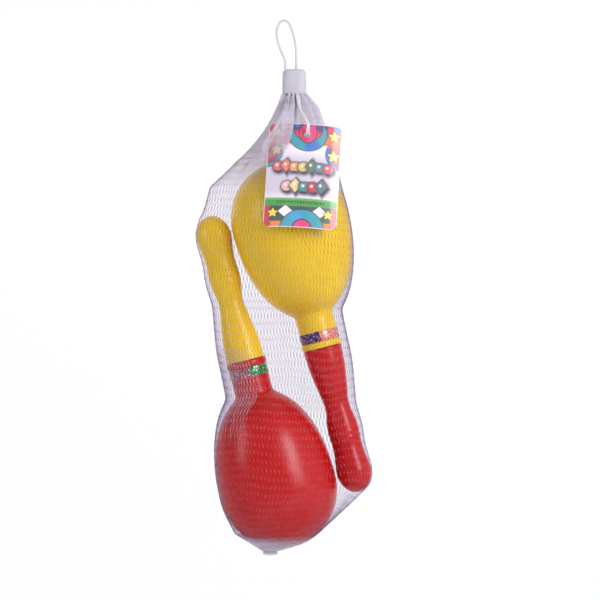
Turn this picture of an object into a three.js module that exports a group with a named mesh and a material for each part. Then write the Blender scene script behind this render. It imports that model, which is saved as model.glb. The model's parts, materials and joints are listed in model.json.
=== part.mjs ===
// A retail pack of two toy maracas, head to tail, in an extruded plastic net sleeve that hangs from a loop.
// Millimetres, +Z up. The origin is the hang point, at the top of the loop's inside; -Y is the front.
import * as THREE from "three";

// ---- Driving dimensions ----
const lean = THREE.MathUtils.degToRad(14.4); // both maracas lean, tops to -X
const bundleCentreZ = -192.8;
const axisSpacing = 44.8; // between the two maracas' parallel axes
const tipSpan = 218.4; // from one head's tip to the other's, along the lean
const maracaLength = 197.5;

const headRadius = 33.8;
const bowlLength = 33.9; // tip to the widest ring
const shoulderLength = 59; // widest ring to where the egg shape would close
const shoulderPower = 2.3; // fuller than an ellipse, whose power is 2
const neckRadius = 10.9;
const neckBlend = 2.4; // softness of the corner between shoulder and neck
const headEnd = 111;
const headWall = 1.3;
const rimRadius = 11.7;
const rimLength = 3.5;
const tapeLength = 6.5;
const tapeThickness = 0.3;
const gap = 0.3; // between touching pieces

const gripPoints = [
  // [radius, distance from the head's end]: two ridges and the hollows between them
  [11.2, 0],
  [10.5, 12],
  [8.5, 25],
  [7.2, 35],
  [9.0, 47],
  [8.6, 60],
  [10.2, 73],
];
const handleWall = 1.4;
const spigotStart = 97;
const spigotRadius = neckRadius - headWall - gap;
const plugFlange = 1.7;
const plugStub = 4;

const pelletCount = 10; // in each head
const pelletRadius = 1.6;
const pelletPitch = 2.3; // the spiral's scale
const pelletClearance = 0.9; // from the faceted bowl

const loopWire = 1.2;
const capX = 6; // the cap hangs a little to the right of the hook
const capTop = -27.8;
const capBottom = -42.2;
const capHalfWidth = 6.7;
const capDepthRatio = 0.68; // depth over width
const capWall = 1.3;
const capCorner = 2.1; // rounds its top edge
const capFlare = 0.4; // at its mouth
const capRoof = 2;

const netClearance = 1.6; // between the bundle and the net's inner side
const netThickness = 0.6;
const netNeckTop = -36;
const netNeckRadius = 2.6; // inside the cap
const netMouthRadius = 4.4; // just under the cap
const netMouthDrop = 1.6; // from the cap's lower edge
const netBottom = -306.2;
const netEndX = -4;
const netEndRadius = 6.5;
const netFolds = [
  // Where the net is held out by its own folds: [height, centre in X, half width, half depth]
  [-50, 7.4, 10.1, 5.8],
  [-56.5, 7.3, 12.9, 7.3],
  [-97, -37, 5.8, 5.3],
  [-297, -22, 4.8, 4.8],
];
const netSag = 0.36; // how far the net bridges hollows: 0 follows them, 1 is drum tight
const netWaist = 52; // half the length that sags in full
const netWaistEnd = 82; // half the length beyond which it's drum tight
const netTopBend = -95; // above this the net's middle moves towards the cap, and its left side is drawn in
const netCinch = 6; // how far, at most
const netCinchPower = 1.5; // how narrow the side is that's drawn in
const netBottomBend = 40; // and over this last length, towards its welded end
const netColumns = 28;
const netSideDensity = 0.55; // crowds the columns towards both sides, where the bundle is sharpest
const netZones = [
  // [height where the zone ends, rows in it], downwards from the mouth
  [-57, 3],
  [-78, 4],
  [-138, 13],
  [-246, 9],
  [-290, 10],
  [-300, 3],
  [-305.8, 4],
];

const sealX = -8;
const sealHalfWidth = 4.4;
const sealHalfDepth = 1.5;
const sealHeight = 2.4;

const cardWidth = 41.5;
const cardHeight = 62;
const cardThickness = 0.5;
const cardBend = 75; // radius of its curve across
const cardCorner = 4;
const cardHoleRadius = 1.9;
const cardCentre = new THREE.Vector3(10.8, -32.4, -91);
const cardTilt = THREE.MathUtils.degToRad(16); // its top leans back
const cardTurn = THREE.MathUtils.degToRad(3.5); // its right side is lower
const cardHole = new THREE.Vector2(1.4, 24.5); // from the card's centre
const tieWidth = 2;
const tieThickness = 0.7;

const headSegments = 28;
const handleSegments = 22;
const smallSegments = 20;

// ---- Materials ----
const yellowPlastic = { color: 0xe0b428, roughness: 0.32, metalness: 0 };
const redPlastic = { color: 0xc4202a, roughness: 0.3, metalness: 0 };
const glitterTape = { color: 0x7d6a9c, roughness: 0.25, metalness: 0.7 };
const greenTape = { color: 0x2f9a5c, roughness: 0.25, metalness: 0.7 };
const netPlastic = { color: 0xe9e9f0, roughness: 0.45, metalness: 0 };
const whitePlastic = { color: 0xd8d5e4, roughness: 0.4, metalness: 0 };
const printedCard = { color: 0xd9406a, roughness: 0.25, metalness: 0 };
const pelletPlastic = { color: 0xd9d4c4, roughness: 0.5, metalness: 0 };

function part(name, geometry, look) {
  const mesh = new THREE.Mesh(geometry, new THREE.MeshStandardMaterial(look));
  mesh.name = name;
  return mesh;
}

// A solid of revolution about +Z from (radius, height) points that run up its outside.
function turned(profile, segments) {
  const points = profile.map(([radius, height]) => new THREE.Vector2(Math.max(radius, 0), height));
  return new THREE.LatheGeometry(points, segments).rotateX(Math.PI / 2);
}

// ---- Shape of a maraca ----
// Distances run along its axis from the head's tip, which is at 0.
function headOutline(along) {
  const fromWidest = along - bowlLength;
  if (fromWidest < 0) return headRadius * Math.sqrt(1 - (fromWidest / bowlLength) ** 2);
  const egg = headRadius * Math.sqrt(Math.max(0, 1 - (fromWidest / shoulderLength) ** shoulderPower));
  return (egg + neckRadius + Math.hypot(egg - neckRadius, neckBlend)) / 2;
}

const gripStart = headEnd + gap;
const gripCurve = new THREE.SplineCurve(
  gripPoints.map(([radius, along]) => new THREE.Vector2(radius, gripStart + along)),
);
const knobStart = gripCurve.points.at(-1);

function knobOutline(along) {
  const share = (along - knobStart.y) / (maracaLength - knobStart.y);
  return knobStart.x * Math.sqrt(Math.max(0, 1 - share ** 2));
}

// The bowl's half, stepped by angle so that its tip is round.
function bowlPoints(radiusLoss, steps) {
  const points = [];
  for (let i = 0; i < steps; i++) {
    const angle = ((i / steps) * Math.PI) / 2;
    points.push([
      (headRadius - radiusLoss) * Math.sin(angle),
      bowlLength - (bowlLength - radiusLoss) * Math.cos(angle),
    ]);
  }
  return points;
}

function shoulderPoints(radiusLoss, end, steps) {
  const points = [];
  for (let i = 0; i <= steps; i++) {
    const along = bowlLength + ((end - bowlLength) * i) / steps;
    points.push([headOutline(along) - radiusLoss, along]);
  }
  return points;
}

function headShell() {
  const tapeStart = headEnd - rimLength - tapeLength;
  const outside = [
    ...bowlPoints(0, 6),
    ...shoulderPoints(0, tapeStart, 9),
    [neckRadius, headEnd - rimLength],
    [rimRadius, headEnd - rimLength + 0.5],
    [rimRadius, headEnd - 0.4],
    [rimRadius - 0.4, headEnd],
  ];
  const inside = [
    ...bowlPoints(headWall, 5),
    ...shoulderPoints(headWall, tapeStart, 7),
    [neckRadius - headWall, headEnd],
  ];
  return turned([...outside, ...inside.reverse()], headSegments);
}

// The knob's half, stepped by angle from its widest ring to just short of its end.
function knobPoints(steps) {
  const points = [];
  for (let i = 1; i < steps; i++) {
    const along = knobStart.y + (maracaLength - knobStart.y) * Math.sin(((i / steps) * Math.PI) / 2);
    points.push([knobOutline(along), along]);
  }
  return points;
}

// A hollow grip with two ridges, closed at its knob and open at the spigot that goes into the head's neck.
function handle() {
  const outside = [
    [spigotRadius, spigotStart],
    [spigotRadius, gripStart],
    ...gripCurve.getPoints(14).map(({ x, y }) => [x, y]),
    ...knobPoints(5),
    [0, maracaLength],
  ];
  const inner = [...gripCurve.getPoints(7).map(({ x, y }) => [x, y]), ...knobPoints(3)];
  const inside = [
    [spigotRadius - handleWall, spigotStart],
    [spigotRadius - handleWall, gripStart],
    ...inner.slice(1).map(([radius, along]) => [radius - handleWall, along]),
    [0, maracaLength - handleWall],
  ];
  return turned([...inside.reverse(), ...outside], handleSegments);
}

// A flanged stopper that closes the handle's open end and keeps the pellets in the head.
function neckPlug() {
  const stubRadius = spigotRadius - handleWall - gap;
  return turned(
    [
      [0, spigotStart - gap - plugFlange],
      [spigotRadius, spigotStart - gap - plugFlange],
      [spigotRadius, spigotStart - gap],
      [stubRadius, spigotStart - gap],
      [stubRadius, spigotStart + plugStub],
      [0, spigotStart + plugStub],
    ],
    smallSegments,
  );
}

function tapeBand() {
  const start = headEnd - rimLength - tapeLength + gap;
  const end = headEnd - rimLength - gap;
  const inner = neckRadius + gap;
  const outer = inner + tapeThickness;
  return turned(
    [
      [inner, start],
      [outer, start],
      [outer, end],
      [inner, end],
      [inner, start],
    ],
    headSegments,
  );
}

// Pellets in a spiral of even spacing. `rest` gives a centre from its distance and angle off the middle.
function pellets(name, rest) {
  const goldenAngle = Math.PI * (3 - Math.sqrt(5));
  return Array.from({ length: pelletCount }, (_, i) => {
    const away = pelletPitch * Math.sqrt(i + 0.5);
    const pellet = part(`${name}_${i + 1}`, new THREE.IcosahedronGeometry(pelletRadius, 1), pelletPlastic);
    pellet.position.copy(rest(away, i * goldenAngle));
    return pellet;
  });
}

// On the bottom of the bowl, under the widest ring's centre when the head hangs down.
function bowlRest(away, angle) {
  const reach = bowlLength - headWall - pelletClearance - pelletRadius;
  const point = new THREE.Vector3(away * Math.cos(angle), away * Math.sin(angle), 0);
  point.z = -Math.sqrt(reach ** 2 - away ** 2);
  point.applyAxisAngle(new THREE.Vector3(0, 1, 0), lean);
  return point.add(new THREE.Vector3(0, 0, bowlLength));
}

// In the neck, on the plug, when the head is up.
function neckRest(away, angle) {
  const height = spigotStart - gap - plugFlange - gap - pelletRadius;
  return new THREE.Vector3(away * Math.cos(angle), away * Math.sin(angle), height);
}

function maraca(name, headLook, handleLook, tapeLook, rest) {
  const group = new THREE.Group();
  group.add(
    part(`${name}_head`, headShell(), headLook),
    part(`${name}_handle`, handle(), handleLook),
    part(`${name}_neck_plug`, neckPlug(), pelletPlastic),
    part(`${name}_tape`, tapeBand(), tapeLook),
    ...pellets(`${name}_pellet`, rest),
  );
  return group;
}

const bundle = new THREE.Group();
bundle.position.set(0, 0, bundleCentreZ);
bundle.rotation.y = -lean;

const lowerMaraca = maraca("lower", redPlastic, yellowPlastic, greenTape, bowlRest);
lowerMaraca.position.set(-axisSpacing / 2, 0, -tipSpan / 2);

const upperMaraca = maraca("upper", yellowPlastic, redPlastic, glitterTape, neckRest);
upperMaraca.position.set(axisSpacing / 2, 0, tipSpan / 2);
upperMaraca.rotation.y = Math.PI;
bundle.add(lowerMaraca, upperMaraca);

// ---- Net ----
const gripOutline = gripCurve.getPoints(200);

function maracaOutline(along) {
  if (along <= headEnd) return headOutline(along);
  if (along > knobStart.y) return knobOutline(along);
  return gripOutline.find((point) => point.y >= along).x;
}

const supportAngles = 72;
const supportStep = (2 * Math.PI) / supportAngles;
const sliceStep = 0.1; // along a maraca

bundle.updateMatrixWorld(true);

// How far a horizontal slice at this height reaches in each direction from the Z axis, over both maracas.
function bundleReach(height) {
  const reach = new Array(supportAngles).fill(-Infinity);
  for (const piece of [lowerMaraca, upperMaraca]) {
    const tip = new THREE.Vector3().applyMatrix4(piece.matrixWorld);
    const axis = new THREE.Vector3(0, 0, 1).transformDirection(piece.matrixWorld);
    const side = new THREE.Vector3(1, 0, 0).transformDirection(piece.matrixWorld);
    for (let along = 0; along <= maracaLength; along += sliceStep) {
      const radius = maracaOutline(along);
      const cosine = (height - tip.z - along * axis.z) / (radius * side.z);
      if (!(Math.abs(cosine) <= 1)) continue;
      const x = tip.x + along * axis.x + radius * cosine * side.x;
      const y = radius * Math.sqrt(1 - cosine ** 2);
      for (let i = 0; i < supportAngles; i++) {
        const angle = i * supportStep;
        reach[i] = Math.max(reach[i], x * Math.cos(angle) + y * Math.abs(Math.sin(angle)));
      }
    }
  }
  return reach;
}

// An elliptical ring's reach in each direction.
function ringReach(centreX, halfWidth, halfDepth = halfWidth) {
  return Array.from({ length: supportAngles }, (_, i) => {
    const cosine = Math.cos(i * supportStep);
    const sine = Math.sin(i * supportStep);
    return centreX * cosine + Math.hypot(halfWidth * cosine, halfDepth * sine);
  });
}

// The tightest skin over stacked slices: in each direction, the highest straight line between any two.
function tightReach(slices, height) {
  return Array.from({ length: supportAngles }, (_, i) => {
    let best = -Infinity;
    for (const above of slices) {
      if (above.height < height) continue;
      for (const below of slices) {
        if (below.height > height) continue;
        const span = above.height - below.height;
        const share = span ? (height - below.height) / span : 0;
        best = Math.max(best, below.reach[i] + share * (above.reach[i] - below.reach[i]));
      }
    }
    return best;
  });
}

const netMouth = { height: capBottom - netMouthDrop, reach: ringReach(capX, netMouthRadius) };
const netHeights = [netMouth.height];
for (const [end, rows] of netZones) {
  const start = netHeights.at(-1);
  for (let row = 1; row <= rows; row++) netHeights.push(start + ((end - start) * row) / rows);
}
const netEnd = { height: netHeights.at(-1), reach: ringReach(netEndX, netEndRadius) };
const slices = netHeights
  .map((height) => ({ height, reach: bundleReach(height) }))
  .filter(({ reach }) => reach[0] > -Infinity);
const folds = netFolds.map(([height, ...ring]) => ({ height, reach: ringReach(...ring) }));
const skinSlices = [netMouth, ...slices, ...folds, netEnd];

// How far a direction is drawn in at this height, between the cap and the level of the raised handle's knob.
function cinchAt(height, direction) {
  const belowCap = THREE.MathUtils.clamp((capBottom - height) / (capBottom - netTopBend), 0, 1);
  const leftward = Math.max(0, -Math.cos(direction));
  return netCinch * Math.sin(Math.PI * belowCap) * leftward ** netCinchPower;
}

// The reach of the net's inner side: tight over both ends of the bundle, sagging into its waist between them.
function netReach(height) {
  const tight = tightReach(skinSlices, height);
  const own = bundleReach(height);
  const fromCentre = Math.abs(height - bundleCentreZ);
  const ends = THREE.MathUtils.smoothstep(fromCentre, netWaist, netWaistEnd);
  const bridge = netSag + (1 - netSag) * ends;
  return tight.map((reach, i) => {
    const cinch = cinchAt(height, i * supportStep);
    return own[i] > -Infinity ? Math.max(own[i], own[i] + bridge * (reach - own[i]) - cinch) : reach - cinch;
  });
}

const columnAngles = Array.from({ length: netColumns }, (_, column) => {
  const even = (column / netColumns) * 2 * Math.PI;
  return even - (netSideDensity / 2) * Math.sin(2 * even);
});

const leastFacing = 0.05; // directions nearly square to a column don't limit it

// A slice's outline as radii from its centre, one for each column of the net.
function sliceRadii(reach, centreX) {
  return columnAngles.map((angle) => {
    let radius = Infinity;
    for (let i = 0; i < supportAngles; i++) {
      const facing = Math.cos(i * supportStep - angle);
      if (facing < leastFacing) continue;
      radius = Math.min(radius, (reach[i] - centreX * Math.cos(i * supportStep)) / facing);
    }
    return radius;
  });
}

// The line that the slices are measured from: under the cap at the top, on the Z axis below.
function netCentre(height) {
  const top = THREE.MathUtils.smoothstep(height, netTopBend, capBottom);
  const bottom = 1 - THREE.MathUtils.smoothstep(height, netBottom, netBottom + netBottomBend);
  return capX * top + netEndX * bottom;
}

// A bag of one wall: its inside and outside are grids of rings that meet at the neck and close at a pole.
function netBag() {
  const heights = [netNeckTop, capBottom - gap, ...netHeights];
  const positions = [];
  const index = [];
  const layers = [netClearance, netClearance + netThickness];
  layers.forEach((offset, layer) => {
    heights.forEach((height, row) => {
      const centreX = netCentre(height);
      const inNeck = row < 2;
      const reach = inNeck ? ringReach(capX, netNeckRadius) : netReach(height);
      const own = inNeck ? offset - netClearance : offset;
      sliceRadii(reach, centreX).forEach((radius, column) => {
        const angle = columnAngles[column];
        positions.push(
          centreX + (radius + own) * Math.cos(angle),
          (radius + own) * Math.sin(angle),
          height,
        );
      });
    });
    positions.push(netCentre(netBottom), 0, netBottom - (layer ? netThickness : 0));
  });
  const perLayer = heights.length * netColumns + 1;
  const at = (layer, row, column) => layer * perLayer + row * netColumns + (column % netColumns);
  const quad = (a, b, c, d) => index.push(a, b, c, a, c, d);
  for (let column = 0; column < netColumns; column++) {
    for (let row = 0; row + 1 < heights.length; row++) {
      quad(at(1, row, column), at(1, row + 1, column), at(1, row + 1, column + 1), at(1, row, column + 1));
      quad(at(0, row, column), at(0, row, column + 1), at(0, row + 1, column + 1), at(0, row + 1, column));
    }
    const last = heights.length - 1;
    index.push(at(1, last, column), 2 * perLayer - 1, at(1, last, column + 1));
    index.push(at(0, last, column), at(0, last, column + 1), perLayer - 1);
    quad(at(0, 0, column), at(1, 0, column), at(1, 0, column + 1), at(0, 0, column + 1));
  }
  const geometry = new THREE.BufferGeometry();
  geometry.setAttribute("position", new THREE.Float32BufferAttribute(positions, 3));
  geometry.setIndex(index);
  return geometry;
}

// The welded end of the sleeve, under the bag.
function netSeal() {
  const outline = new THREE.Shape();
  outline.absellipse(0, 0, sealHalfWidth, sealHalfDepth, 0, 2 * Math.PI);
  const seal = new THREE.ExtrudeGeometry(outline, {
    depth: sealHeight,
    bevelEnabled: false,
    curveSegments: 12,
  });
  return seal.translate(sealX, 0, netBottom - netThickness - gap - sealHeight);
}

// ---- Hanger ----
// A moulded cap with an open mouth that holds the gathered net.
function hangCap() {
  const mouth = capHalfWidth - capWall;
  const outside = [
    [0, capTop],
    [capHalfWidth - capCorner, capTop],
    [capHalfWidth - capCorner * 0.3, capTop - capCorner * 0.25],
    [capHalfWidth - capCorner * 0.05, capTop - capCorner * 0.85],
    [capHalfWidth, capBottom + capRoof],
    [capHalfWidth + capFlare, capBottom],
  ];
  const inside = [
    [mouth, capBottom],
    [mouth, capTop - capRoof],
    [0, capTop - capRoof],
  ];
  const profile = [...outside, ...inside].reverse();
  return turned(profile, headSegments).scale(1, capDepthRatio, 1).translate(capX, 0, 0);
}

// The loop's centreline, from one foot on the cap, over the hook and down to the other.
const loopFeet = capTop + loopWire / 2 + gap;
const loopRoute = new THREE.CatmullRomCurve3(
  [
    [0.9, loopFeet],
    [0.4, -22],
    [-3.0, -13.5],
    [-4.2, -6.5],
    [-2.6, -1.0],
    [0.2, loopWire / 2],
    [3.0, -1.2],
    [5.4, -7],
    [6.9, -15],
    [7.2, -22],
    [7.2, loopFeet],
  ].map(([x, z]) => new THREE.Vector3(x, 0, z)),
);

function hangLoop() {
  const section = new THREE.Shape();
  section.absellipse(0, 0, loopWire / 2, loopWire / 2, 0, 2 * Math.PI);
  return new THREE.ExtrudeGeometry(section, { steps: 36, curveSegments: 4, extrudePath: loopRoute });
}

// ---- Card ----
const cardFrame = new THREE.Matrix4()
  .makeTranslation(cardCentre)
  .multiply(new THREE.Matrix4().makeRotationX(-cardTilt))
  .multiply(new THREE.Matrix4().makeRotationY(cardTurn));

// A rounded card in its own X-Z plane, bent back at both sides, with a hole near its top.
function card() {
  const halfWidth = cardWidth / 2;
  const halfHeight = cardHeight / 2;
  const straight = halfWidth - cardCorner;
  const edgeSteps = 7;
  const outline = new THREE.Shape();
  outline.moveTo(-straight, -halfHeight);
  const edgeStep = (2 * straight) / edgeSteps;
  for (let i = 1; i <= edgeSteps; i++) outline.lineTo(-straight + edgeStep * i, -halfHeight);
  outline.absarc(straight, cardCorner - halfHeight, cardCorner, -Math.PI / 2, 0);
  outline.absarc(straight, halfHeight - cardCorner, cardCorner, 0, Math.PI / 2);
  for (let i = 1; i <= edgeSteps; i++) outline.lineTo(straight - edgeStep * i, halfHeight);
  outline.absarc(-straight, halfHeight - cardCorner, cardCorner, Math.PI / 2, Math.PI);
  outline.absarc(-straight, cardCorner - halfHeight, cardCorner, Math.PI, 1.5 * Math.PI);
  const hole = new THREE.Path();
  hole.absarc(cardHole.x, cardHole.y, cardHoleRadius, 0, 2 * Math.PI, true);
  outline.holes.push(hole);
  const plate = new THREE.ExtrudeGeometry(outline, {
    depth: cardThickness,
    bevelEnabled: false,
    curveSegments: 5,
  });
  plate.rotateX(Math.PI / 2).translate(0, cardThickness / 2, 0);
  const position = plate.getAttribute("position");
  for (let i = 0; i < position.count; i++) {
    const x = position.getX(i);
    position.setY(i, position.getY(i) + x ** 2 / (2 * cardBend));
  }
  return plate.applyMatrix4(cardFrame);
}

// A flat strip from the cap's mouth over the card's top edge and through its hole.
function cardTie() {
  const hole = new THREE.Vector3(cardHole.x, 0, cardHole.y).applyMatrix4(cardFrame);
  const route = new THREE.CatmullRomCurve3([
    new THREE.Vector3(capX + 2.5, -8.4, capBottom - 1),
    new THREE.Vector3(capX + 3.5, -14.5, capBottom - 10),
    new THREE.Vector3(hole.x, hole.y - 2.2, hole.z + 6.5),
    new THREE.Vector3(hole.x, hole.y - 1.6, hole.z + 1.6),
    new THREE.Vector3(hole.x, hole.y + 1.3, hole.z - 0.2),
  ]);
  const section = new THREE.Shape();
  const halfWidth = tieWidth / 2;
  const halfThickness = tieThickness / 2;
  section.moveTo(-halfThickness, -halfWidth);
  section.lineTo(halfThickness, -halfWidth);
  section.lineTo(halfThickness, halfWidth);
  section.lineTo(-halfThickness, halfWidth);
  return new THREE.ExtrudeGeometry(section, { steps: 20, extrudePath: route });
}

const pack = new THREE.Group();
pack.add(
  bundle,
  part("net_bag", netBag(), netPlastic),
  part("net_seal", netSeal(), netPlastic),
  part("hang_cap", hangCap(), whitePlastic),
  part("hang_loop", hangLoop(), whitePlastic),
  part("header_card", card(), printedCard),
  part("card_tie", cardTie(), whitePlastic),
);

export default pack;
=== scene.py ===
# A pair of toy maracas, head to tail, in a hanging net pack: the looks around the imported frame.
# Metres, +Z up, origin at the hang point on the loop, -Y is the front.
import json
import math

import bpy
import numpy as np
from mathutils import Matrix, Vector


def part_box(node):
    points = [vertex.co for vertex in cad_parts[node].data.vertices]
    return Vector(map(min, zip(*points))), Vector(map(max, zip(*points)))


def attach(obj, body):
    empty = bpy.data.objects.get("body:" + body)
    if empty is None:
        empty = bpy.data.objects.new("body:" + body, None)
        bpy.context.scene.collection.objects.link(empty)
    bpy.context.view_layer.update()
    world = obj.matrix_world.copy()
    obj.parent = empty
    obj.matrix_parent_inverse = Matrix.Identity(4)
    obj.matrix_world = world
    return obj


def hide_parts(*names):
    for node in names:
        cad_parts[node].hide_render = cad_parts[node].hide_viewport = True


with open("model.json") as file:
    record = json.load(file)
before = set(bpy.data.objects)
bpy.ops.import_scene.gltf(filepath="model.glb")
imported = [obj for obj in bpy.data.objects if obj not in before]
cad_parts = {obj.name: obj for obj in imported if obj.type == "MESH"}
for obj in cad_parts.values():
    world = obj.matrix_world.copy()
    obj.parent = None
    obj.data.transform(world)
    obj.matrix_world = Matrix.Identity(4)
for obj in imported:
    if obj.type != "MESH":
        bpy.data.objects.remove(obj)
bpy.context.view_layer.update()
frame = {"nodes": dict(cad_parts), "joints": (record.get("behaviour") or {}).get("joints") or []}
joints = {joint["name"]: joint for joint in frame["joints"]}
scene = bpy.context.scene
MM = 0.001

# ---- camera, light, floor
view_centre = Vector((0.0093, 0, -0.1615))
view_width = 0.348
camera_distance = 1.3
sensor_width = 36

camera_data = bpy.data.cameras.new("camera")
camera_data.sensor_width = sensor_width
camera_data.lens = sensor_width * camera_distance / view_width
camera_data.clip_end = 20
camera = bpy.data.objects.new("camera", camera_data)
camera.location = view_centre + Vector((0, -camera_distance, 0))
camera.rotation_euler = (math.pi / 2, 0, 0)
scene.collection.objects.link(camera)
scene.camera = camera
scene.view_settings.view_transform = "Standard"
scene.cycles.transparent_max_bounces = 32


def set_inputs(node, **values):
    """Sets a node's inputs by name, with _ for a space."""
    for name, value in values.items():
        node.inputs[name.replace("_", " ")].default_value = value
    return node


class Look:
    """A material's node tree, with short calls that add linked nodes."""

    def __init__(self, name, **principled):
        self.material = bpy.data.materials.new(name)
        self.material.use_nodes = True
        self.tree = self.material.node_tree
        self.shader = self.tree.nodes["Principled BSDF"]
        set_inputs(self.shader, **principled)

    def node(self, kind, **properties):
        made = self.tree.nodes.new("ShaderNode" + kind)
        for name, value in properties.items():
            setattr(made, name, value)
        return made

    def link(self, source, target):
        self.tree.links.new(source, target)

    def place(self):
        return self.node("TexCoord").outputs["Object"]

    def noise(self, scale, detail=3):
        made = set_inputs(self.node("TexNoise"), Scale=scale, Detail=detail)
        self.link(self.place(), made.inputs["Vector"])
        return made.outputs["Fac"]

    def spread(self, value, low, high):
        """A 0 to 1 value mapped to low to high."""
        made = set_inputs(self.node("MapRange"), To_Min=low, To_Max=high)
        self.link(value, made.inputs["Value"])
        return made.outputs["Result"]

    def maths(self, operation, *values):
        made = self.node("Math", operation=operation)
        for socket, value in zip(made.inputs, values):
            if isinstance(value, (int, float)):
                socket.default_value = value
            else:
                self.link(value, socket)
        return made.outputs["Value"]

    def mix(self, share, first, second):
        """A colour between two, which are colours or sockets."""
        made = self.node("Mix", data_type="RGBA")
        sockets = [s for s in made.inputs if s.type == "RGBA"]
        for socket, value in zip(sockets, (first, second)):
            if isinstance(value, tuple):
                socket.default_value = value
            else:
                self.link(value, socket)
        self.link(share, made.inputs["Factor"])
        return next(s for s in made.outputs if s.type == "RGBA")

    def tint(self, colour):
        self.link(colour, self.shader.inputs["Base Color"])

    def vary_roughness(self, value, low, high):
        self.link(self.spread(value, low, high), self.shader.inputs["Roughness"])

    def bump(self, height, strength, distance):
        made = set_inputs(self.node("Bump"), Strength=strength, Distance=distance)
        self.link(height, made.inputs["Height"])
        self.link(made.outputs["Normal"], self.shader.inputs["Normal"])


def srgb(*colour):
    """A colour from its 0 to 255 values, as linear RGBA."""
    linear = [((v / 255 + 0.055) / 1.055) ** 2.4 if v > 10 else v / 255 / 12.92 for v in colour]
    return (*linear, 1.0)


def add_object(mesh, material):
    """An object with the mesh's name, smooth shaded."""
    mesh.polygons.foreach_set("use_smooth", [True] * len(mesh.polygons))
    mesh.materials.append(material)
    piece = bpy.data.objects.new(mesh.name, mesh)
    scene.collection.objects.link(piece)
    return piece


def backdrop():
    """A pale floor that sweeps up into a wall behind. Its paper glows as painted light, faintly on the floor
    and brighter up the wall, standing in for a lit backdrop, and so also lights the pack from behind.
    """
    floor_z, front_y, wall_y, wall_top, bend, half_width = -0.5, -3.0, 1.4, 3.0, 0.5, 3.5
    bend_steps = 12
    profile = [(front_y, floor_z)]
    for i in range(bend_steps + 1):
        angle = math.pi / 2 * i / bend_steps
        profile.append((wall_y - bend + bend * math.sin(angle), floor_z + bend - bend * math.cos(angle)))
    profile.append((wall_y, wall_top))
    verts = [(x, y, z) for y, z in profile for x in (-half_width, half_width)]
    faces = [(2 * i, 2 * i + 1, 2 * i + 3, 2 * i + 2) for i in range(len(profile) - 1)]
    mesh = bpy.data.meshes.new("backdrop")
    mesh.from_pydata(verts, [], faces)
    look = Look("glowing_backdrop_paper", Base_Color=srgb(226, 226, 228), Roughness=0.9, Emission_Color=(1, 1, 1, 1))
    # Painted light: the paper's glow rises from faint at the front of the floor to brighter up the back wall,
    # standing in for light falling on a backdrop.
    place = look.node("SeparateXYZ")
    look.link(look.place(), place.inputs["Vector"])
    glow = set_inputs(look.node("MapRange"), From_Min=0.3, From_Max=0.8, To_Min=0.05, To_Max=0.36)
    look.link(place.outputs["Y"], glow.inputs["Value"])
    look.link(glow.outputs["Result"], look.shader.inputs["Emission Strength"])
    add_object(mesh, look.material)


def soft_box(name, place, aim, size, power):
    """A rectangular lamp that faces a point."""
    data = bpy.data.lights.new(name, "AREA")
    data.shape = "RECTANGLE"
    data.size, data.size_y = size
    data.energy = power
    lamp = bpy.data.objects.new(name, data)
    lamp.location = place
    lamp.rotation_euler = (Vector(aim) - Vector(place)).to_track_quat("-Z", "Y").to_euler()
    scene.collection.objects.link(lamp)


backdrop()
middle = (0, 0, -0.17)
soft_box("left_box", (-1.05, -0.52, 0.16), middle, (0.34, 0.8), 3.4)
soft_box("front_box", (0.80, -0.9, 0.30), middle, (0.5, 0.75), 11.6)
soft_box("right_box", (1.3, -0.3, 0.1), middle, (0.9, 1.4), 1.8)
world = bpy.data.worlds.new("studio")
world.use_nodes = True
set_inputs(world.node_tree.nodes["Background"], Color=(1, 1, 1, 1), Strength=0.5)
scene.world = world

# ---- shape of a maraca
# Lengths run along its axis from the head's tip, in metres.
head_radius = 33.8 * MM
bowl_length = 33.9 * MM
shoulder_length = 59 * MM
shoulder_power = 2.3
neck_radius = 10.9 * MM
neck_blend = 2.4 * MM
head_end = 111 * MM
rim_length = 3.5 * MM
gap = 0.3 * MM
maraca_length = 197.5 * MM
spigot_radius = 9.3 * MM
grip_points = [(11.2, 0), (10.5, 12), (8.5, 25), (7.2, 35), (9.0, 47), (8.6, 60), (10.2, 73)]


def head_outline(along):
    """The head's radius, over an array of distances."""
    past = along - bowl_length
    bowl = head_radius * np.sqrt(np.clip(1 - (past / bowl_length) ** 2, 0, None))
    share = np.clip(past, 0, None) / shoulder_length
    egg = head_radius * np.sqrt(np.clip(1 - share**shoulder_power, 0, None))
    shoulder = (egg + neck_radius + np.hypot(egg - neck_radius, neck_blend)) / 2
    return np.where(past < 0, bowl, shoulder)


def catmull_rom(points, count):
    """Points along a uniform Catmull-Rom spline."""
    points = np.array(points, float)
    padded = np.vstack([2 * points[0] - points[1], points, 2 * points[-1] - points[-2]])
    at = np.linspace(0, len(points) - 1, count)
    i = np.minimum(at.astype(int), len(points) - 2)
    t = (at - i)[:, None]
    p0, p1, p2, p3 = (padded[i + k] for k in range(4))
    square = 2 * p0 - 5 * p1 + 4 * p2 - p3
    cube = 3 * p1 - p0 - 3 * p2 + p3
    return 0.5 * (2 * p1 + (p2 - p0) * t + square * t**2 + cube * t**3)


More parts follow.
